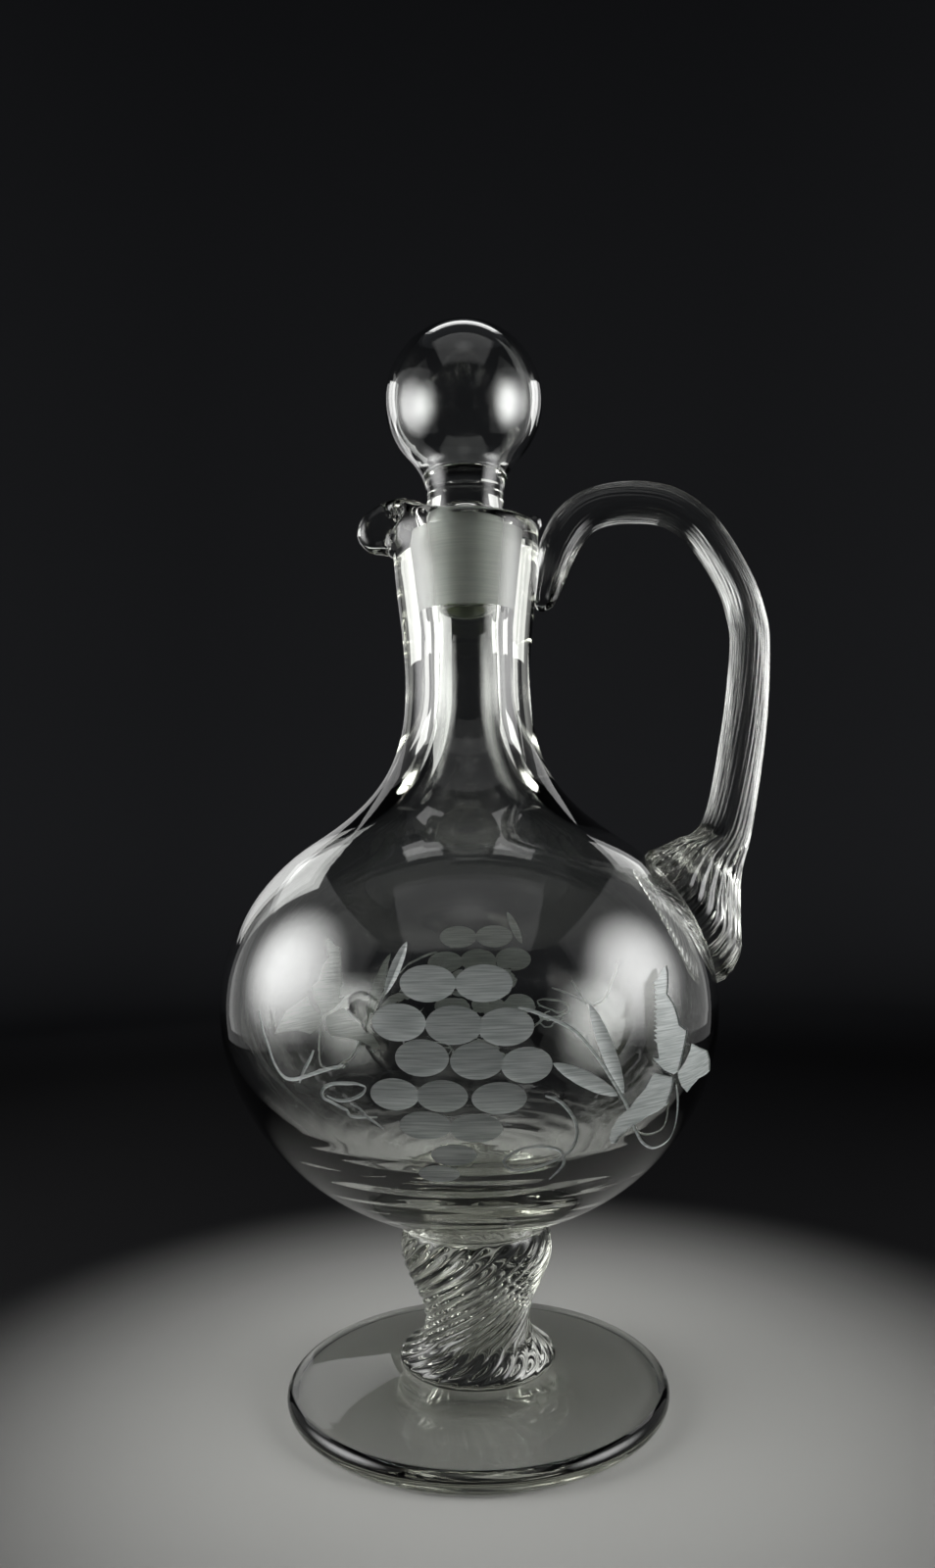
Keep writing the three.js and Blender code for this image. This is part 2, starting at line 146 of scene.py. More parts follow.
def stem_radius(z):
    """Radius of the crests of the ribs."""
    waist = collar_top + waist_rise
    knop = stem_top - knop_drop
    if z <= waist:
        return waist_radius + root_flare * ((waist - z) / waist_rise) ** 2
    if z <= knop:
        climb = (z - waist) / (knop - waist)
        return part_way(waist_radius, knop_radius, (1 - math.cos(math.pi * climb)) / 2)
    drop = min(1, (z - knop) / knop_drop)
    return part_way(seat_radius, knop_radius, math.sqrt(1 - drop * drop))


def stem_turn(z):
    """How far the ribs have wound round at one height, in radians; they run out on the collar."""
    climb = min(1, (max(z, foot_top + 1) - collar_top) / stem_height)
    wound = 1.1 * climb if climb < 0 else 1 - (1 - climb) ** 1.5
    return math.radians(stem_twist) * wound


def groove(turn, z):
    """Depth of the mould's grooves, which fade where the stem is pressed flat at both ends."""
    climb = (z - collar_top) / stem_height
    if climb <= 0:
        left = max(0, (z - foot_top - 1) / (collar_height - 1))
        depth = rib_depth * 0.7 * min(1, 2.5 * left)
    else:
        depth = rib_depth * min(1, 6 * max(0, 1 - climb), 0.4 + 3 * climb)
    return depth * (1 - abs(math.cos(ribs * turn / 2)) ** rib_sharpness)


stem_outline = []
for i in range(1, stem_steps + 1):
    height = collar_top + stem_height * math.sin(i / stem_steps * math.pi / 2)
    stem_outline.append((stem_radius(height), height))

# Bulb, outside
# The blown bubble, marvered on a short cone that sits on the stem: round below, a little flatter
# above, then drawn in to the neck. It leans slightly towards the lip, as hand-blown ones do.
bulb_radius = 65.4
bulb_depth = 59
bulb_lean = 1
cone_radius = 27
cone_height = 4.6
crown_height = 54
shoulder_rise = 42.1
neck_waist_rise = 84.1
neck_waist_radius = 17
rim_rise = 128.6
mouth_radius = 20
lip_root_drop = 8.4

cone_angle = math.acos(cone_radius / bulb_radius)
equator = stem_top + cone_height + bulb_depth * math.sin(cone_angle)
neck_waist = equator + neck_waist_rise
rim = equator + rim_rise
shoulder_angle = math.asin(shoulder_rise / crown_height)
bulb_outline = arc((0, equator), (bulb_radius, bulb_depth), -math.degrees(cone_angle), 0, 30)
bulb_outline += arc((0, equator), (bulb_radius, crown_height), 0, math.degrees(shoulder_angle), 16)[1:]
shoulder = bulb_outline[-1]


def shoulder_slope(radius, crown):
    """The way up along the shoulder, from where the crown's ellipse ends."""
    return Vector((-radius * math.sin(shoulder_angle), crown * math.cos(shoulder_angle))).normalized()


sweep_length = neck_waist - shoulder[1]
slope = shoulder_slope(bulb_radius, crown_height)
bulb_outline += sweep(
    shoulder,
    tuple(Vector(shoulder) + 0.43 * sweep_length * slope),
    (neck_waist_radius, neck_waist - 0.55 * sweep_length),
    (neck_waist_radius, neck_waist),
    18,
)[1:]
neck_length = rim - lip_root_drop - neck_waist
bulb_outline += sweep(
    (neck_waist_radius, neck_waist),
    (neck_waist_radius, neck_waist + 0.34 * neck_length),
    (part_way(neck_waist_radius, mouth_radius, 0.7), neck_waist + 0.6 * neck_length),
    (mouth_radius, rim - lip_root_drop),
    10,
)[1:]


def outside_at(z):
    """Outer radius of bulb and neck at one height."""
    for low, high in zip(bulb_outline, bulb_outline[1:]):
        if low[1] <= z <= high[1]:
            return part_way(low[0], high[0], (z - low[1]) / (high[1] - low[1]))
    return mouth_radius if z > neck_waist else seat_radius


def lean(z):
    """How far the bubble's centre lies off the axis at one height."""
    climb = min(1, max(0, (z - stem_top) / (neck_waist - stem_top)))
    return -bulb_lean * math.sin(math.pi * climb) ** 2


# Mouth and pouring lip
# The rim was cut, fire-polished and pulled out hot over one side, so that it folds over into a
# lip with a channel. Each row has its radius and height on the plain rim, then on the lip.
plug_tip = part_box("stopper_plug")[0].z / MM
plug_tip_radius = 8.4
plug_taper = 0.073
ground_gap = 0.2
rim_rounding = 1.8
lip_reach = 9.9
lip_rise = 7.3
lip_drop = 6.9
lip_channel = 1.1
lip_narrowness = 10
rise_narrowness = 2.4
channel_narrowness = 60

# The lip is pinched from both sides, and its cheeks are pressed flat in a slanted oval.
lip_half_width = 5.2
pinch_start = 16.5
pinch_length = 6
cheek_place = Vector((-22.6, 0.3))
cheek_half_length = 6.8
cheek_half_height = 4.2
cheek_slant = 15
cheek_rounding = 1.5
cheek_edge = 0.35


def eased(stations, position):
    """The values at a place between two stations, on the smooth curve through them all."""
    i = min(int(position), len(stations) - 2)
    t = position - i
    a, b, c, d = (stations[min(max(k, 0), len(stations) - 1)] for k in range(i - 1, i + 3))
    return tuple(
        q + 0.5 * t * (r - p + t * (2 * p - 5 * q + 4 * r - s + t * (3 * (q - r) + s - p)))
        for p, q, r, s in zip(a, b, c, d)
    )


def softened(share):
    """A share kept from 0 to 1 and eased at both ends."""
    share = min(1, max(0, share))
    return share * share * (3 - 2 * share)


def socket_radius(z):
    """Radius of the ground socket, on the plug's own taper."""
    return plug_tip_radius + ground_gap + plug_taper * (z - plug_tip)


inner = socket_radius(rim)
land = mouth_radius - rim_rounding - inner
bevel = 0.3 * rim_rounding
lip_tip = mouth_radius + lip_reach
throat = rim - rim_rounding
mouth_rows = [
    (mouth_radius, rim - lip_root_drop, mouth_radius, rim - lip_root_drop),
    (mouth_radius, rim - lip_drop, mouth_radius + 0.25 * lip_reach, rim - lip_drop),
    (mouth_radius, rim - 0.6 * lip_drop, mouth_radius + 0.7 * lip_reach, rim - 0.92 * lip_drop),
    (mouth_radius, rim - rim_rounding, lip_tip, rim - 0.36 * lip_drop),
    (mouth_radius - bevel, rim - bevel, lip_tip - 0.16 * lip_reach, rim + 0.42 * lip_rise),
    (mouth_radius - rim_rounding, rim, mouth_radius + 0.45 * lip_reach, rim + 0.86 * lip_rise),
    (inner + 0.67 * land, rim, inner + 1.19 * land, rim + lip_rise),
    (inner + 0.25 * land, rim, inner + 0.56 * land, rim + 0.7 * lip_rise),
    (inner + bevel, rim - bevel, inner + 2 * bevel, rim + 0.12 * lip_rise),
    (socket_radius(throat), throat, socket_radius(throat), throat),
]
rows_between = 3
mouth = [eased(mouth_rows, i / rows_between) for i in range(1, rows_between * (len(mouth_rows) - 1) + 1)]
mouth_outline = [row[:2] for row in mouth]


def pulled(turn, radius, z):
    """Where the hot rim goes as the lip is pulled out."""
    near = min(mouth, key=lambda row: math.hypot(row[0] - radius, row[1] - z))
    if math.hypot(near[0] - radius, near[1] - z) > 0.01:
        return radius, z
    facing = max(0, -math.cos(turn))
    pull = facing**lip_narrowness
    lift = facing**rise_narrowness if near[3] > near[1] else pull
    on_top = softened((near[3] - rim) / lip_rise * 2.5 - 0.75)
    channel = lip_channel * facing**channel_narrowness * on_top
    return part_way(radius, near[2], pull), part_way(z, near[3], lift) - channel


# Socket, bore and hollow
# The neck is thick: its bore is reamed to a ground taper for the plug, runs down narrow to the
# shoulder and opens into the bubble, whose base is thickest where it meets the stem.
bore_radius = 8.3
bulb_wall = 3.3
bulb_base = 8.5
bore_top = plug_tip - (plug_tip_radius + ground_gap - bore_radius) / plug_taper
inner_radius = bulb_radius - bulb_wall
inner_crown = crown_height - bulb_wall
floor = stem_top + bulb_base
socket_steps = 12
bore_steps = 4
bore_reach = 4
hollow_outline = []
for i in range(1, socket_steps + 1):
    height = part_way(throat, bore_top, i / socket_steps)
    hollow_outline.append((socket_radius(height), height))
inner_shoulder = (inner_radius * math.cos(shoulder_angle), equator + inner_crown * math.sin(shoulder_angle))
inner_slope = shoulder_slope(inner_radius, inner_crown)
inner_sweep = neck_waist - inner_shoulder[1]
hollow_outline += sweep(
    (bore_radius, bore_top),
    (bore_radius, bore_top - bore_reach),
    (bore_radius, neck_waist + bore_reach),
    (bore_radius, neck_waist),
    bore_steps,
)[1:]
hollow_outline += sweep(
    (bore_radius, neck_waist),
    (bore_radius, neck_waist - 0.55 * inner_sweep),
    tuple(Vector(inner_shoulder) + 0.45 * inner_sweep * inner_slope),
    inner_shoulder,
    16,
)[1:]
hollow_outline += arc((0, equator), (inner_radius, inner_crown), math.degrees(shoulder_angle), 0, 12)[1:]
hollow_outline += arc((0, equator), (inner_radius, equator - floor), 0, -90, 66)[1:]
hollow_outline[-1] = (0, floor)

# Inside, the base is rippled in layers that rise a little towards the wall.
ripple_depth = 0.8
ripple_height = 2.0
ripple_fade = 18
ripple_drop = 24
ripple_waves = 1.3
ripple_slant = 5


def rippled(turn, radius, z):
    """The thick base is uneven inside: the gather was turned while it sagged, so it is streaked."""
    top = equator - ripple_drop
    if not stem_top < z < top or radius > outside_at(z) - bulb_wall / 2:
        return radius, z
    fade = min(1, (top - z) / ripple_fade)
    layer = z / ripple_height + radius / ripple_slant
    wave = noise.noise(Vector((ripple_waves * math.cos(turn), ripple_waves * math.sin(turn), layer)))
    reach = math.hypot(radius, z - equator)
    share = 1 - ripple_depth * fade * wave / reach
    return radius * share, equator + (z - equator) * share


def turned(name, outlines, sides):
    """Draws half sections beside the axis, in millimetres, and spins them into closed bodies."""
    section = bpy.data.curves.new(name, "CURVE")
    section.dimensions = "3D"
    for outline in outlines:
        line = section.splines.new("POLY")
        line.points.add(len(outline) - 1)
        for spot, (radius, height) in zip(line.points, outline):
            spot.co = (axis_x + radius * MM, 0, height * MM, 1)
    body = bpy.data.objects.new(name, section)
    bpy.context.scene.collection.objects.link(body)
    bpy.ops.object.select_all(action="DESELECT")
    bpy.context.view_layer.objects.active = body
    body.select_set(True)
    bpy.ops.object.convert(target="MESH")
    body = bpy.context.object
    bpy.ops.object.mode_set(mode="EDIT")
    bpy.ops.mesh.select_all(action="SELECT")
    bpy.ops.mesh.spin(steps=sides, angle=2 * math.pi, center=(axis_x, 0, 0), axis=(0, 0, 1))
    bpy.ops.mesh.select_all(action="SELECT")
    bpy.ops.mesh.remove_doubles(threshold=0.01 * MM)
    bpy.ops.mesh.normals_make_consistent(inside=False)
    bpy.ops.object.mode_set(mode="OBJECT")
    return body


def shaped(body, place):
    """Moves each vertex to where place puts it, in millimetres round the axis."""
    for vertex in body.data.vertices:
        x, y, z = place((vertex.co.x - axis_x) / MM, vertex.co.y / MM, vertex.co.z / MM)
        vertex.co = (axis_x + x * MM, y * MM, z * MM)
    body.data.update()


# Slow waves all over bulb and neck, which run out at the stem and at the ground socket.
unevenness = 0.07
uneven_waves = 2.4
uneven_height = 24
uneven_fade = 20
uneven_low = stem_top + 2
uneven_high = plug_tip - 2


def uneven(turn, z):
    """Hand-blown glass is a little uneven, which shows in its reflections."""
    if not uneven_low < z < uneven_high:
        return 0
    fade = min(1, (z - uneven_low) / uneven_fade, (uneven_high - z) / uneven_fade)
    spot = Vector((uneven_waves * math.cos(turn), uneven_waves * math.sin(turn), z / uneven_height))
    return unevenness * fade * noise.noise(spot)


def blown(x, y, z):
    """Twists and ribs the stem, pulls the lip, presses its cheeks flat and leans the bubble."""
    radius = math.hypot(x, y)
    turn = math.atan2(y, x)
    radius -= groove(turn, z)
    turn += stem_turn(z)
    radius, z = pulled(turn, radius, z)
    radius, z = rippled(turn, radius, z)
    radius += uneven(turn, z)
    x, y = lean(z) + radius * math.cos(turn), radius * math.sin(turn)
    if z > rim - lip_drop - 1 and x < -pinch_start:
        pinched = softened((-pinch_start - x) / pinch_length)
        y /= (1 + (pinched * abs(y) / lip_half_width) ** 3) ** (1 / 3)
    off = Matrix.Rotation(-math.radians(cheek_slant), 2) @ (Vector((x, z - rim)) - cheek_place)
    off = math.hypot(off.x / cheek_half_length, off.y / cheek_half_height)
    if off < 1:
        y = part_way(y, lip_half_width * math.tanh(y / cheek_rounding), softened((1 - off) / cheek_edge))
    return x, y, z


vessel_outline = foot_outline + collar_outline + stem_outline + bulb_outline + mouth_outline + hollow_outline
vessel = turned("vessel_glass", [vessel_outline], 216)
shaped(vessel, blown)

# Handle
# A cane of glass, reeded in the same way: laid on the neck with a drawn-out tail, looped over
# and pressed on the bulb, where its end flares to a ribbed pad. Stations run from tail to pad.
cane_radius = 5.7
cane_clearance = 12
arch_rise = 6.3
grip_drop = 30.6
tail_length = 24
pad_rise = 21.2
pad_half_length = 19.6
pad_half_width = 15
reeds = 30
reed_depth = 0.36
pad_reeding = 1.8
fold_depth = 1.2
folds = 3
fold_turn = 0.6
bead = 3.2
tail_share = 0.13
handle_twist = 80
fused_depth = 1.0
handle_sides = 150
handle_rings = 116
ring_crowding = 1.3
rod_radius = 10
rod_length = 100
seat_share = 0.06

handle_reach = bulb_radius + cane_clearance
pad_z = equator + pad_rise
pad_r = outside_at(pad_z)
pad_normal = math.atan2(pad_rise / crown_height**2, pad_r / bulb_radius**2)


def cane(x, z, heading, thick, wide):
    """A station of the cane: its place, its heading and its half sizes, as shares of its radius."""
    return (x, z, heading, thick * cane_radius, wide * cane_radius)


def along(share):
    """Distance from the axis, a share of the way from the mouth to the furthest point."""
    return part_way(mouth_radius, handle_reach, share)


def pad(out, up, heading, thick, wide):
    """A station of the pad, set out from its seat on the bulb, in shares of the pad's half length."""
    x = out * math.cos(pad_normal) - up * math.sin(pad_normal)
    z = out * math.sin(pad_normal) + up * math.cos(pad_normal)
    place = (pad_r + lean(pad_z) + pad_half_length * x, pad_z + pad_half_length * z)
    return (*place, heading, thick * pad_half_length, wide * pad_half_width)


tail_r = outside_at(rim - tail_length)
upper_tail_r = outside_at(rim - 0.73 * tail_length)
handle_stations = [
    cane(tail_r + 0.4 * cane_radius, rim - tail_length, 92, 0.5, 0.5),
    cane(upper_tail_r + 0.54 * cane_radius, rim - 0.73 * tail_length, 80, 0.7, 0.8),
    cane(along(0.085), rim - 0.245 * grip_drop, 64, 0.95, 1.07),
    cane(along(0.166), rim + 0.08 * arch_rise, 46, 1, 1.09),
    cane(along(0.287), rim + 0.8 * arch_rise, 20, 1, 1.05),
    cane(along(0.465), rim + arch_rise, -4, 1.03, 1),
    cane(along(0.64), rim + 0.72 * arch_rise, -24, 0.98, 0.96),
    cane(along(0.79), rim - 0.07 * grip_drop, -47, 0.93, 0.93),
    cane(along(0.928), rim - 0.5 * grip_drop, -65, 0.9, 0.9),
    cane(along(0.986), rim - 0.83 * grip_drop, -79, 0.92, 0.92),
    cane(along(1), rim - 1.15 * grip_drop, -88, 0.95, 0.95),
    cane(along(0.958), rim - 1.886 * grip_drop, -98, 1.05, 1),
    pad(1.056, 0.857, -101, 0.343, 0.418),
    pad(0.602, 0.587, -119, 0.51, 0.55),
    pad(0.306, 0.332, -132, 0.74, 0.78),
    pad(0.138, 0.133, -141, 0.93, 0.96),
    pad(-0.066, 0.026, -149, 1, 1),
    pad(-0.255, 0.015, -150, 0.97, 0.96),
]

# The stations are walked in steps of even length, counting the swelling of the pad.
fine_steps = 600
last_station = len(handle_stations) - 1
fine = [eased(handle_stations, i * last_station / fine_steps) for i in range(fine_steps + 1)]
walked = [0]
for before, after in zip(fine, fine[1:]):
    step = math.hypot(after[0] - before[0], after[1] - before[1], after[3] - before[3])
    walked.append(walked[-1] + step)


def on_cane(share):
    """The station a share of the way along the cane."""
    goal = share * walked[-1]
    i = next((k for k, length in enumerate(walked) if length >= goal), len(fine) - 1)
    return fine[i]


def drawn(x, y, z):
    """Bends a straight rod into the reeded cane and closes its end under the pad."""
    rod = z / rod_length
    share = min(1, rod / (1 - seat_share))
    closing = min(1, (1 - rod) / seat_share)
    cx, cz, heading, thick, wide = on_cane(share)
    turn = math.atan2(y, x)
    # The reeds run in over the first third of the cane and are deepest on the pad.
    fade = min(1, 3 * share) * (0.8 + 0.2 * min(1, max(0, (share - 0.3) / 0.4)))
    flare = min(1, max(0, (thick / cane_radius - 1.1) / 0.7))
    depth = reed_depth * (fade + pad_reeding * flare)
    depth *= 1 - abs(math.cos(reeds * turn / 2)) ** rib_sharpness
    # The folds are deepest near the end of the tail.
    pinch = min(1, 6 * share / tail_share) * max(0, 1 - share / tail_share)
    depth += fold_depth * pinch * (1 - math.cos(folds * turn + fold_turn)) / 2
    crest = 1 - depth / thick
    turn += math.radians(handle_twist) * share
    rounding = min(1, share * walked[-1] / bead)
    amount = crest * math.hypot(x, y) / rod_radius * closing * math.sqrt(1 - (1 - rounding) ** 2)
    slant = math.radians(heading)
    px = cx + amount * thick * math.cos(turn) * math.sin(slant)
    pz = cz - amount * thick * math.cos(turn) * math.cos(slant)
    py = amount * wide * math.sin(turn)
    if pz > rim - 1:
        return px, py, pz
    offset = lean(pz)
    radius = math.hypot(px - offset, py)
    least = outside_at(pz) - fused_depth
    if radius < least:
        px, py = offset + (px - offset) * least / radius, py * least / radius
    return px, py, pz


ring_places = [(i / handle_rings) ** ring_crowding for i in range(1, handle_rings)]
rod_outline = [(0, 0)] + [(rod_radius, rod_length * place) for place in ring_places] + [(0, rod_length)]
handle = turned("handle_cane", [rod_outline], handle_sides)
shaped(handle, drawn)
bpy.ops.object.select_all(action="DESELECT")

# A drop of glass stands up from the rim, where the cane first touched it.
knob_inset = 1
knob_rise = 0.7
knob_half_sizes = (2.1, 2.6, 2.2)
knob_place = (axis_x + (mouth_radius - knob_inset) * MM, 0, (rim + knob_rise) * MM)
bpy.ops.mesh.primitive_uv_sphere_add(segments=32, ring_count=16, radius=MM, location=knob_place)
bpy.context.object.scale = knob_half_sizes
bpy.ops.object.transform_apply(location=True, scale=True)
knob = bpy.context.object


def joined(body, other, operation):
    """Fuses or cuts one body with another and deletes the other."""
    change = body.modifiers.new(operation.lower(), "BOOLEAN")
    change.operation = operation
    change.solver = "MANIFOLD"
    change.object = other
    bpy.context.view_layer.objects.active = body
    bpy.ops.object.modifier_apply(modifier=change.name)
    bpy.data.objects.remove(other)


joined(vessel, handle, "UNION")
joined(vessel, knob, "UNION")


def smoothed(body, degrees):
    """Shades a body smooth, with a crease where its faces meet at more than so many degrees."""
    bpy.ops.object.select_all(action="DESELECT")
    body.select_set(True)
    bpy.context.view_layer.objects.active = body
    bpy.ops.object.shade_smooth_by_angle(angle=math.radians(degrees))


def linear(code):
    """An sRGB hex colour as the linear values that a shader takes."""
    values = [int(code[i : i + 2], 16) / 255 for i in (1, 3, 5)]
    return (*[v / 12.92 if v <= 0.04045 else ((v + 0.055) / 1.055) ** 2.4 for v in values], 1)


def add(tree, kind, values=None, links=None, **settings):
    """Adds a node with its settings, its socket values and the sockets that feed it."""
    made = tree.nodes.new(kind)
    for key, value in settings.items():
        setattr(made, key, value)
    for name, value in (values or {}).items():
        made.inputs[name].default_value = value
    for name, socket in (links or {}).items():
        tree.links.new(socket, made.inputs[name])
    return made


# Soda-lime glass, fire-polished: water-clear, with the faint green of its iron in thick parts.
glass_colour = "#fdfefd"
glass_tint = "#e3e6d2"
clear = bpy.data.materials.new("soda_lime_glass")
clear.use_nodes = True
tree = clear.node_tree
tree.nodes.clear()
surface = add(
    tree,
    "ShaderNodeBsdfPrincipled",
    {"Base Color": linear(glass_colour), "Roughness": 0.015, "IOR": 1.51, "Transmission Weight": 1.0},
)
depth_tint = add(tree, "ShaderNodeVolumeAbsorption", {"Color": linear(glass_tint), "Density": 12.0})
add(tree, "ShaderNodeOutputMaterial", None, {"Surface": surface.outputs[0], "Volume": depth_tint.outputs[0]})

# Engraving
# A bunch of grapes with vine leaves and tendrils, cut with a turning wheel on the front and again
# on the back. The drawing is set out flat, in mm: across from the bunch, and up from the widest
# part of the bulb. Its places aren't design sizes: they were picked one by one on the photograph, and
# another program worked out where they lie on the bulb. Each grape has its place, width and height.
front_turn = -90
back_turn = 90
back_rise = 2.5
grape_lift = 0.3
grape_depth = 0.75
grapes = [
    (-8.7, 11.0, 12.3, 8.0),
    (3.4, 10.9, 12.3, 8.0),
    (-15.1, 2.8, 12.0, 8.0),
    (-3.2, 2.3, 12.0, 8.1),
    (7.9, 1.7, 12.0, 8.0),
    (-10.2, -4.6, 11.6, 7.9),
    (1.5, -5.3, 11.3, 7.9),
    (12.1, -6.5, 11.3, 7.9),
    (-16.5, -12.7, 11.0, 7.3),
    (-6.1, -12.9, 11.0, 7.3),
    (6.0, -13.5, 12.0, 7.4),
    (-10.0, -19.8, 11.5, 7.0),
    (0.8, -20.5, 11.5, 7.1),
    (-4.2, -27.4, 9.9, 6.0),
    (-7.6, -33.0, 9.1, 5.3),
]
meridian = [(0.0, *bulb_outline[0])]
for low, high in zip(bulb_outline, bulb_outline[1:]):
    meridian.append((meridian[-1][0] + math.hypot(high[0] - low[0], high[1] - low[1]), *high))
middle_arc = next(step[0] for step in meridian if step[2] >= equator)


def on_bulb(x, y, out, turn):
    """Wraps a place in the flat drawing round the bulb, from the turn where the bunch hangs."""
    goal = middle_arc + y
    low, high = next(pair for pair in zip(meridian, meridian[1:]) if pair[1][0] >= goal)
    share = (goal - low[0]) / (high[0] - low[0])
    radius, z = part_way(low[1], high[1], share), part_way(low[2], high[2], share)
    steep = crown_height if z > equator else bulb_depth
    normal = Vector((radius / bulb_radius**2, (z - equator) / steep**2)).normalized()
    around = math.radians(turn) + x / radius
    radius += out * normal.x
    z += out * normal.y
    return lean(z) + radius * math.cos(around), radius * math.sin(around), z


# Wheel-cut glass: the grit leaves a fine matt grain, in streaks along the way the wheel ran.
ground_colour = "#e9eeec"
streak_colour = "#b4bcb9"
streak_spacing = 0.35
streak_length = 9
ground = bpy.data.materials.new("wheel_ground_glass")
ground.use_nodes = True
tree = ground.node_tree
tree.nodes.clear()
place = add(tree, "ShaderNodeTexCoord")
per_metre = (1 / (streak_length * MM), 1 / (streak_length * MM), 1 / (streak_spacing * MM))
stretched = add(tree, "ShaderNodeMapping", {"Scale": per_metre}, {"Vector": place.outputs["Object"]})
streaks = add(tree, "ShaderNodeTexNoise", {"Scale": 1.0, "Detail": 3.0}, {"Vector": stretched.outputs[0]})
sharper = add(tree, "ShaderNodeMapRange", {"From Min": 0.36, "From Max": 0.64}, {"Value": streaks.outputs[0]})
tone = add(
    tree,
    "ShaderNodeMix",
    {6: linear(streak_colour), 7: linear(ground_colour)},
    {0: sharper.outputs[0]},
    data_type="RGBA",
)
grain = add(tree, "ShaderNodeBump", {"Strength": 0.5, "Distance": 0.05 * MM}, {"Height": streaks.outputs[0]})
surface = add(
    tree,
    "ShaderNodeBsdfPrincipled",
    {"Roughness": 0.45, "IOR": 1.51, "Transmission Weight": 0.42},
    {"Base Color": tone.outputs[2], "Normal": grain.outputs[0]},
)
add(tree, "ShaderNodeOutputMaterial", None, {"Surface": surface.outputs[0]})

wheel_cuts = bpy.data.collections.new("wheel_cuts")
bpy.context.scene.collection.children.link(wheel_cuts)


def raised_on_bulb(spot, rise, turn):
    """The place on the bulb of a spot in the flat drawing, after the drawing is moved up."""
    x, y, out = spot
    return on_bulb(x, y + rise, out, turn)


def cut_on_both_sides(flat, place):
    """Keeps a cutter for the front and one for the back, each wrapped to its place on the bulb."""
    flat.data.materials.clear()
    for material in (clear, ground):
        flat.data.materials.append(material)
    for face in flat.data.polygons:
        face.material_index = 1
    for turn, rise in ((front_turn, 0), (back_turn, back_rise)):
        cutter = bpy.data.objects.new(f"{flat.name}_{turn}", flat.data.copy())
        wheel_cuts.objects.link(cutter)
        shaped(cutter, lambda x, y, z: raised_on_bulb(place(x, y, z), rise, turn))
    bpy.data.objects.remove(flat)


for x, y, width, height in grapes:
    bpy.ops.object.select_all(action="DESELECT")
    bpy.ops.mesh.primitive_uv_sphere_add(segments=40, ring_count=14, radius=MM, location=(axis_x, 0, 0))
    bpy.ops.object.transform_apply(location=True)
    spread = 1 / math.sqrt(1 - (grape_lift / grape_depth) ** 2)
    cut_on_both_sides(
        bpy.context.object,
        lambda u, v, w: (
            x + u * width / 2 * spread,
            y + v * height / 2 * spread,
            grape_lift + w * grape_depth,
        ),
    )

# The narrow leaves beside the stalk are single mitred cuts. Each has its tip, base and half width.
narrow_leaves = [
    ((26.7, 5.7), (35.2, -15.0), 1.9),
    ((17.6, -6.3), (33.6, -15.2), 1.9),
    ((-13.2, 20.2), (-18.1, 8.3), 1.3),
]
mitre_depth = 0.8
mitre_lift = 0.25
for tip, base, half_width in narrow_leaves:
    bpy.ops.object.select_all(action="DESELECT")
    bpy.ops.mesh.primitive_uv_sphere_add(segments=4, ring_count=24, radius=MM, location=(axis_x, 0, 0))
    bpy.ops.object.transform_apply(location=True)
    leaf_run = Vector(base) - Vector(tip)
    heading = leaf_run.normalized()
    leaf_middle = (Vector(base) + Vector(tip)) / 2
    half_length = leaf_run.length / 2 * 1.05
    cut_on_both_sides(
        bpy.context.object,
        lambda u, v, w: (
            leaf_middle.x + w * half_length * heading.x - u * half_width * 1.4 * heading.y,
            leaf_middle.y + w * half_length * heading.y + u * half_width * 1.4 * heading.x,
            mitre_lift + v * mitre_depth,
        ),
    )

# Stalk and tendrils are thin strokes of a small wheel, which taper where the wheel lifts off.
stroke_radius = 0.58
stroke_lift = 0.3
stroke_step = 0.9
strokes = {
    "stalk": [
        (10.5, 5.6), (13.0, 5.0), (17.1, 3.3), (20.3, 1.8), (23.5, -0.3), (26.4, -3.5), (29, -6.8),
        (31.7, -10.9), (34.3, -14.9), (36.2, -18.2), (37.8, -22.2), (39.6, -25.6), (42.3, -29.5),
        (46.8, -32.6), (51.4, -33.2), (55, -32.1), (56, -29.2), (55.6, -24.6), (54.6, -19.9),
        (53, -15.5),
    ],
    "tendril": [
        (15.6, -13.4), (18.4, -14.5), (20.4, -16.3), (22.5, -19.6), (23.2, -22.9), (22.5, -26.3),
        (20.9, -28.6), (17.7, -30.5), (13.6, -31.8), (9.9, -32.3), (7.7, -31.8), (6.5, -29.7),
    ],
    "tendril_end": [
        (6.5, -30.2), (6.6, -29.2), (7.6, -27.8), (10.2, -26.3), (14.3, -25.8), (18.6, -27.1),
        (20, -29.3), (19.8, -32.3), (16.6, -36.4),
    ],
    "left_curl": [
        (-22.9, -11.3), (-25, -10.7), (-27.4, -10.8), (-30.3, -11), (-32.3, -11.6), (-33.8, -12.7),
        (-34.2, -14), (-33.6, -14.9), (-32, -15.4), (-29.5, -16.5), (-27.9, -17.2), (-27.4, -18.3),
        (-25.9, -18.6), (-23.4, -18.4), (-20.4, -18.2),
    ],
    "left_curl_inside": [
        (-22.9, -11.3), (-23.5, -12.6), (-25.5, -13.9), (-28, -14.8), (-30.6, -14.9), (-32.9, -14.1),
    ],
    "left_curl_end": [(-27.1, -15.4), (-24.8, -16.4), (-23.4, -18.1), (-21.1, -19.7), (-19.2, -21.2)],
    "left_stalk": [
        (-54, 3.2), (-52.4, -0.8), (-50.3, -4.6), (-48.5, -8.2), (-45.7, -10.9), (-42.5, -11.3),
        (-38.4, -10.1), (-33.3, -8.3), (-28.2, -6.8),
    ],
    "left_spur": [(-40.5, -11.9), (-39.3, -9.5), (-37, -6.2), (-35.8, -4.1)],
}
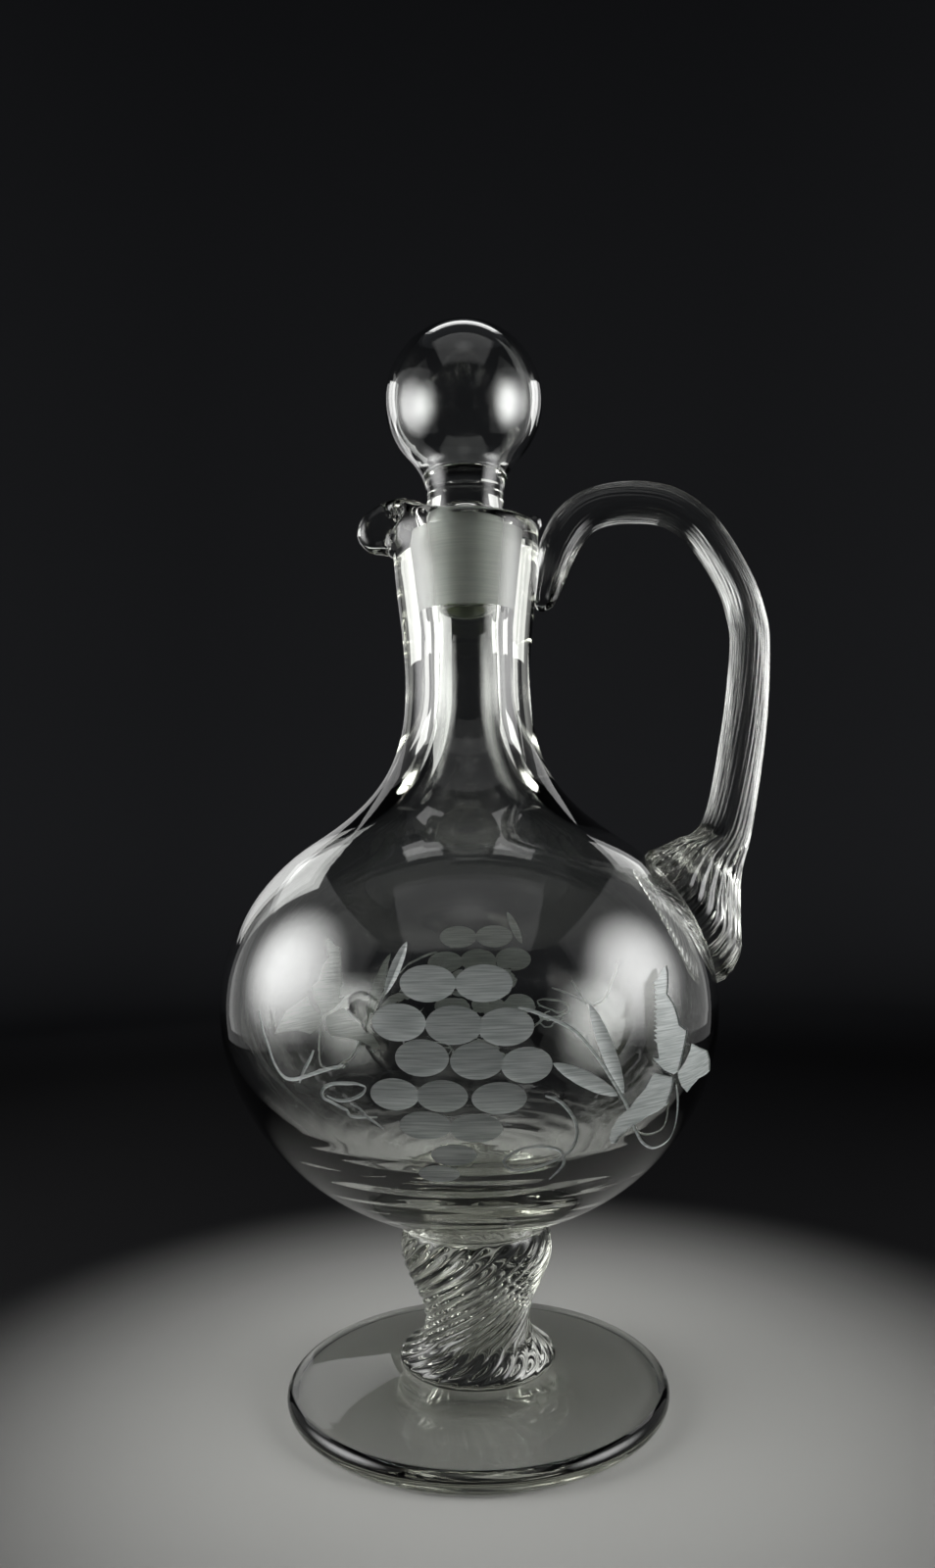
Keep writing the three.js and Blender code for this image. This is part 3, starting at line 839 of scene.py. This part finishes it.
for name, spots in strokes.items():
    length = sum((Vector(b) - Vector(a)).length for a, b in zip(spots, spots[1:]))
    count = round(length / stroke_step)
    stroke = bpy.data.curves.new(name, "CURVE")
    stroke.dimensions = "3D"
    stroke.bevel_depth = stroke_radius * MM
    stroke.bevel_resolution = 1
    stroke.use_fill_caps = True
    line = stroke.splines.new("POLY")
    line.points.add(count)
    for i, spot in enumerate(line.points):
        u, v = eased(spots, i / count * (len(spots) - 1))
        spot.co = (axis_x + u * MM, v * MM, stroke_lift * MM, 1)
        spot.radius = min(1, 0.62 + 0.1 * i, 0.62 + 0.1 * (count - i))
    cutter = bpy.data.objects.new(name, stroke)
    bpy.context.scene.collection.objects.link(cutter)
    bpy.ops.object.select_all(action="DESELECT")
    bpy.context.view_layer.objects.active = cutter
    cutter.select_set(True)
    bpy.ops.object.convert(target="MESH")
    bpy.ops.object.mode_set(mode="EDIT")
    bpy.ops.mesh.select_all(action="SELECT")
    bpy.ops.mesh.remove_doubles(threshold=0.001 * MM)
    bpy.ops.object.mode_set(mode="OBJECT")
    cut_on_both_sides(bpy.context.object, lambda u, v, w: (u, v, w))

# The vine leaves are shallow matt cuts with a flat floor. One has a comb of short strokes as its
# serrated edge.
leaf_floor = -0.3
leaf_top = 0.9
leaf_grid = 2.5
comb_teeth = 13
comb_reach = 1.1
comb_low, comb_high = Vector((45.4, -4.6)), Vector((46.2, 9.0))
comb = []
for i in range(comb_teeth):
    root = comb_low.lerp(comb_high, i / comb_teeth)
    comb += [(root.x, root.y), (root.x - comb_reach, root.y + 0.85 * comb_reach)]
vine_leaves = {
    "leaf_upright": [
        (51.7, -12.7), (48, -11.2), (43.7, -7.7), (46, -8.2), (45.6, -6.2), *comb, (46.9, 9.6),
        (48.7, 11.6), (50.7, 12.3), (51, 10.7), (50.4, 7.6), (49.8, 5.9), (52, 3.6), (53.3, 1),
        (54.1, -1.5), (57.4, -3.2), (56.8, -4.8), (55.4, -8.2), (53.7, -12.3),
    ],
    "leaf_right": [
        (53.4, -12.6), (56.3, -10.6), (58.8, -8), (59.5, -6.4), (63.5, -7.9), (70.1, -9.9),
        (73.7, -12.8), (77.4, -16.5), (65.5, -16.2), (61.3, -17.5), (59, -18.7), (55.6, -16.4),
        (53.8, -14),
    ],
    "leaf_hanging": [
        (51.6, -13.4), (44.7, -11.4), (43.7, -11.9), (41.7, -14.6), (38.9, -16.7), (37.1, -18.8),
        (35.3, -19.7), (33.6, -21), (32, -23.7), (31.5, -26), (32.2, -27.5), (33.6, -27.8),
        (34.8, -25.9), (37.5, -24.2), (39.4, -23.3), (43.4, -21.9), (46.6, -21.3), (50.1, -20.1),
        (51, -17.5), (51.9, -14.6),
    ],
}
for name, outline in vine_leaves.items():
    leaf = bpy.data.curves.new(name, "CURVE")
    leaf.dimensions = "2D"
    leaf.fill_mode = "BOTH"
    leaf.extrude = (leaf_top - leaf_floor) / 2 * MM
    line = leaf.splines.new("POLY")
    line.points.add(len(outline) - 1)
    line.use_cyclic_u = True
    for spot, (u, v) in zip(line.points, outline):
        spot.co = (axis_x + u * MM, v * MM, 0, 1)
    cutter = bpy.data.objects.new(name, leaf)
    bpy.context.scene.collection.objects.link(cutter)
    bpy.ops.object.select_all(action="DESELECT")
    bpy.context.view_layer.objects.active = cutter
    cutter.select_set(True)
    bpy.ops.object.convert(target="MESH")
    bpy.ops.object.mode_set(mode="EDIT")
    bpy.ops.mesh.select_all(action="SELECT")
    bpy.ops.mesh.remove_doubles(threshold=0.01 * MM)
    for across in (0, 1):
        marks = [spot[across] for spot in outline]
        mark = min(marks) + leaf_grid
        while mark < max(marks):
            bpy.ops.mesh.select_all(action="SELECT")
            place_on_cut = (axis_x + mark * MM, 0, 0) if across == 0 else (0, mark * MM, 0)
            bpy.ops.mesh.bisect(plane_co=place_on_cut, plane_no=(1 - across, across, 0))
            mark += leaf_grid
    bpy.ops.object.mode_set(mode="OBJECT")
    cut_on_both_sides(bpy.context.object, lambda u, v, w: (u, v, w + (leaf_top + leaf_floor) / 2))

vessel.data.materials.clear()
for material in (clear, ground):
    vessel.data.materials.append(material)
cutting = vessel.modifiers.new("wheel_cutting", "BOOLEAN")
cutting.operation = "DIFFERENCE"
cutting.solver = "MANIFOLD"
cutting.operand_type = "COLLECTION"
cutting.collection = wheel_cuts
bpy.context.view_layer.objects.active = vessel
bpy.ops.object.modifier_apply(modifier=cutting.name)
for cutter in list(wheel_cuts.objects):
    bpy.data.objects.remove(cutter)
bpy.data.collections.remove(wheel_cuts)
smoothed(vessel, 35)
bpy.ops.object.mode_set(mode="EDIT")
bpy.ops.mesh.select_all(action="DESELECT")
vessel.active_material_index = 1
bpy.ops.object.material_slot_select()
bpy.ops.mesh.region_to_loop()
bpy.ops.mesh.mark_sharp()
bpy.ops.object.mode_set(mode="OBJECT")
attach(vessel, "vessel")
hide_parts("foot", "foot_collar", "stem", "bulb", "handle")

# Stopper
# A blown hollow ball on a solid neck, with a hollow plug that is ground to the socket's taper.
plug_wall = 2.8
plug_head = 2
plug_bevel = 0.6
neck_radius = 10.6
neck_rise = 8.5
spigot_height = 6
ball_radius = 21.9
ball_rise = 26.9
ball_wall = 2.6
ball_crown_wall = 1.7
floor_radius = 10.2
floor_rounding = 1
flare_angle = -42.4

plug_shoulder = rim + neck_rise
ball_centre = plug_shoulder + ball_rise
inner_tip = plug_tip_radius - plug_wall
hollow_top = plug_shoulder - plug_head
dome_start = hollow_top - 0.9 * inner_tip
inner_top = inner_tip + plug_taper * (dome_start - plug_tip)
cone_top = plug_tip + (neck_radius - plug_tip_radius) / plug_taper
flare = (
    ball_radius * math.cos(math.radians(flare_angle)),
    ball_centre + ball_radius * math.sin(math.radians(flare_angle)),
)
flare_rise = 0.75 * spigot_height
flare_slope = Vector((math.sin(math.radians(flare_angle)), -math.cos(math.radians(flare_angle))))
stopper_outline = arc((0, dome_start), (inner_top, hollow_top - dome_start), 90, 0, 12)
stopper_outline[0] = (0, hollow_top)
plug_steps = 12
bevel_top = plug_tip + plug_bevel
bevel_reach = (plug_bevel, plug_bevel)
for i in range(1, plug_steps + 1):
    height = part_way(dome_start, bevel_top, i / plug_steps)
    stopper_outline.append((inner_tip + plug_taper * (height - plug_tip), height))
stopper_outline += arc((inner_tip + plug_bevel, bevel_top), bevel_reach, 180, 270, 4)[1:]
stopper_outline += arc((plug_tip_radius - plug_bevel, bevel_top), bevel_reach, 270, 360, 4)
for i in range(1, 2 * plug_steps + 1):
    height = part_way(bevel_top, min(cone_top, plug_shoulder), i / plug_steps / 2)
    stopper_outline.append((plug_tip_radius + plug_taper * (height - plug_tip), height))
stopper_outline += sweep(
    (neck_radius, plug_shoulder),
    (neck_radius, plug_shoulder + flare_rise),
    tuple(Vector(flare) + flare_rise * flare_slope),
    flare,
    14,
)
stopper_outline += arc((0, ball_centre), (ball_radius, ball_radius), flare_angle, 90, 50)[1:]
stopper_outline[-1] = (0, ball_centre + ball_radius)

ball_floor = plug_shoulder + spigot_height
ball_inner = ball_radius - ball_wall
ball_inner_crown = ball_radius - ball_crown_wall
bubble_outline = arc((0, ball_centre), (ball_inner, ball_inner_crown), 90, flare_angle, 44)
bubble_outline[0] = (0, ball_centre + ball_inner_crown)
bubble_outline += sweep(
    bubble_outline[-1],
    tuple(Vector(bubble_outline[-1]) + flare_rise * flare_slope),
    (floor_radius + 0.3, ball_floor + 3 * floor_rounding),
    (floor_radius, ball_floor + floor_rounding),
    10,
)[1:]
floor_corner = (floor_radius - floor_rounding, ball_floor + floor_rounding)
bubble_outline += arc(floor_corner, (floor_rounding, floor_rounding), 0, -90, 5)[1:]
bubble_outline.append((0, ball_floor))
stopper = turned("stopper_glass", [stopper_outline, bubble_outline], 144)

# The bubble's own faces look into its air, so they are turned round.
bpy.ops.object.mode_set(mode="EDIT")
bpy.ops.mesh.select_all(action="DESELECT")
bpy.ops.object.mode_set(mode="OBJECT")
middle = Vector((axis_x, 0, ball_centre * MM))
min(stopper.data.polygons, key=lambda face: (face.center - middle).length).select = True
bpy.ops.object.mode_set(mode="EDIT")
bpy.ops.mesh.select_linked()
bpy.ops.mesh.flip_normals()
bpy.ops.object.mode_set(mode="OBJECT")
smoothed(stopper, 35)
stopper.data.materials.append(clear)
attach(stopper, "stopper")
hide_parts("stopper_plug", "stopper_ball")

# Ground joint
# Socket and plug were ground into each other with grit, which leaves both faces as matt as the
# engraving.
joint_colour = "#eef1ec"
matt = bpy.data.materials.new("grit_ground_glass")
matt.use_nodes = True
tree = matt.node_tree
tree.nodes.clear()
place = add(tree, "ShaderNodeTexCoord")
per_metre = (1 / (12 * MM), 1 / (12 * MM), 1 / (0.4 * MM))
stretched = add(tree, "ShaderNodeMapping", {"Scale": per_metre}, {"Vector": place.outputs["Object"]})
rings = add(tree, "ShaderNodeTexNoise", {"Scale": 1.0, "Detail": 2.0}, {"Vector": stretched.outputs[0]})
tone = add(
    tree,
    "ShaderNodeMix",
    {6: linear(streak_colour), 7: linear(joint_colour)},
    {0: rings.outputs[0]},
    data_type="RGBA",
)
surface = add(
    tree,
    "ShaderNodeBsdfPrincipled",
    {"Roughness": 0.5, "IOR": 1.51, "Transmission Weight": 0.75},
    {"Base Color": tone.outputs[2]},
)
add(tree, "ShaderNodeOutputMaterial", None, {"Surface": surface.outputs[0]})
stopper.data.materials.append(matt)
for face in stopper.data.polygons:
    radius = math.hypot((face.center.x - axis_x) / MM, face.center.y / MM)
    height = face.center.z / MM
    cone = plug_tip_radius + plug_taper * (height - plug_tip)
    if plug_tip < height < rim + 0.5 and abs(radius - cone) < 0.1:
        face.material_index = 1
vessel.data.materials.append(matt)
for face in vessel.data.polygons:
    radius = math.hypot((face.center.x - axis_x) / MM, face.center.y / MM)
    height = face.center.z / MM
    if plug_tip - 0.5 < height < throat and abs(radius - socket_radius(height)) < 0.1:
        face.material_index = 2

# Floor and backdrop
# A round table top that sweeps up into a wall: pale where the carafe stands, dark behind it. The pale patch
# is a painted pool of light round the foot.
stage_radius = 1.15
stage_curve = 0.35
stage_height = 1.9
painted_light_pool_colour = "#b0b0ad"
shade_colour = "#0e0e10"
wall_colour = "#58595d"
section = [(0.0, 0.0)]
section += arc((stage_radius - stage_curve, stage_curve), (stage_curve, stage_curve), -90, 0, 16)
section.append((stage_radius, stage_height))
backdrop = turned("backdrop", [[(r / MM, z / MM) for r, z in section]], 96)
bpy.ops.object.mode_set(mode="EDIT")
bpy.ops.mesh.select_all(action="SELECT")
bpy.ops.mesh.flip_normals()
bpy.ops.object.mode_set(mode="OBJECT")
smoothed(backdrop, 60)
paper = bpy.data.materials.new("backdrop_paper")
paper.use_nodes = True
tree = paper.node_tree
tree.nodes.clear()
place = add(tree, "ShaderNodeTexCoord")
flat = add(tree, "ShaderNodeVectorMath", {1: (1, 1, 0.6)}, {0: place.outputs["Object"]}, operation="MULTIPLY")
distance = add(tree, "ShaderNodeVectorMath", None, {0: flat.outputs[0]}, operation="LENGTH")
share = add(tree, "ShaderNodeMath", {1: stage_radius}, {0: distance.outputs["Value"]}, operation="DIVIDE")
tones = add(tree, "ShaderNodeValToRGB", None, {"Fac": share.outputs[0]})
tones.color_ramp.interpolation = "EASE"
# The pale stop is a painted pool of light close round the foot, fading out to the dark.
stops = [(0.055, painted_light_pool_colour), (0.18, shade_colour), (0.5, shade_colour), (1.15, wall_colour)]
while len(tones.color_ramp.elements) < len(stops):
    tones.color_ramp.elements.new(1)
for stop, (out, colour) in zip(tones.color_ramp.elements, stops):
    stop.position = out / stage_radius
    stop.color = linear(colour)
surface = add(
    tree,
    "ShaderNodeBsdfPrincipled",
    {"Roughness": 0.9, "Specular IOR Level": 0.1},
    {"Base Color": tones.outputs["Color"]},
)
add(tree, "ShaderNodeOutputMaterial", None, {"Surface": surface.outputs[0]})
backdrop.data.materials.append(paper)

# Light
# Two softboxes stand close by on either side. Their cloth is brightest where the lamp stands
# behind it, as their reflections on the bulb show. Weak ones behind light the sides of the ball
# and the handle, a strip above edges the handle's arch, and a large dim one hangs overhead. Each
# has its place, target, width, height, watts, the brightest place as a share of its sides, and how
# bright the cloth still is away from there.
lamps = {
    "softbox_left": ((-0.36, 0, 0.25), (0, 0, 0.25), 0.66, 0.5, 7.6, (0.58, 0.44), 0.03),
    "softbox_right": ((0.36, 0, 0.25), (0, 0, 0.25), 0.66, 0.5, 7.6, (0.34, 0.44), 0.03),
    "high_left": ((-0.42, 0.46, 0.47), (0, 0, 0.27), 0.26, 0.2, 0.14, (0.5, 0.5), 1.0),
    "high_right": ((0.42, 0.46, 0.47), (0, 0, 0.27), 0.26, 0.2, 0.16, (0.5, 0.5), 1.0),
    "back_left": ((-0.32, 0.62, 0.30), (0, 0, 0.2), 0.30, 0.25, 0.15, (0.5, 0.5), 1.0),
    "strip_above": ((0, 0.22, 0.85), (0, 0, 0.24), 0.5, 0.12, 0.24, (0.5, 0.5), 1.0),
    "softbox_top": ((0, -0.5, 1.1), (0, 0, 0.15), 1.1, 0.9, 2.0, (0.5, 0.5), 0.5),
}
bright_core = 0.02
bright_reach = 0.24
for name, (spot, target, width, height, power, bright_place, cloth_share) in lamps.items():
    bpy.ops.object.light_add(type="AREA", location=spot)
    lamp = bpy.context.object
    lamp.name = name
    lamp.data.shape = "RECTANGLE"
    lamp.data.size = width
    lamp.data.size_y = height
    lamp.data.energy = power
    lamp.visible_camera = False
    aim = Vector(target) - Vector(spot)
    lamp.rotation_euler = aim.to_track_quat("-Z", "Y").to_euler()
    lamp.data.use_nodes = True
    tree = lamp.data.node_tree
    tree.nodes.clear()
    cloth = add(tree, "ShaderNodeNewGeometry").outputs["Parametric"]
    off = add(tree, "ShaderNodeVectorMath", {1: (*bright_place, 0)}, {0: cloth}, operation="SUBTRACT")
    size = (width, height, 0)
    metres = add(tree, "ShaderNodeVectorMath", {1: size}, {0: off.outputs[0]}, operation="MULTIPLY")
    away = add(tree, "ShaderNodeVectorMath", None, {0: metres.outputs[0]}, operation="LENGTH")
    bright = add(
        tree,
        "ShaderNodeMapRange",
        {"From Min": bright_core, "From Max": bright_reach, "To Min": 1.0, "To Max": cloth_share},
        {"Value": away.outputs["Value"]},
        interpolation_type="SMOOTHSTEP",
    )
    shine = add(tree, "ShaderNodeEmission", None, {"Strength": bright.outputs[0]})
    add(tree, "ShaderNodeOutputLight", None, {"Surface": shine.outputs[0]})

# The room itself is dim and a little cool.
room_colour = "#8c8f94"
room_strength = 0.15
world = bpy.data.worlds.new("room")
bpy.context.scene.world = world
world.use_nodes = True
room = world.node_tree.nodes["Background"]
room.inputs["Color"].default_value = linear(room_colour)
room.inputs["Strength"].default_value = room_strength

# Camera
# The photograph was taken from close by, a little under the middle of the carafe, looking
# slightly up. Its frame is 954 by 1600 pixels and its focal length 1130 of them.
focal_pixels = 1130
frame_height = 1600
camera_distance = 300.4
camera_height = 138.7
camera_side = -0.5
camera_pitch = 3.98
camera_roll = -0.85
bpy.ops.object.camera_add()
camera = bpy.context.object
camera.data.sensor_width = 36
camera.data.lens = camera.data.sensor_width * focal_pixels / frame_height
camera.data.clip_start = 0.01
stand = Matrix.Translation((axis_x + camera_side * MM, -camera_distance * MM, camera_height * MM))
tilt = Matrix.Rotation(math.radians(90 + camera_pitch), 4, "X")
roll = Matrix.Rotation(math.radians(camera_roll), 4, "Z")
camera.matrix_world = stand @ tilt @ roll
bpy.context.scene.camera = camera
bpy.context.scene.view_settings.view_transform = "Standard"
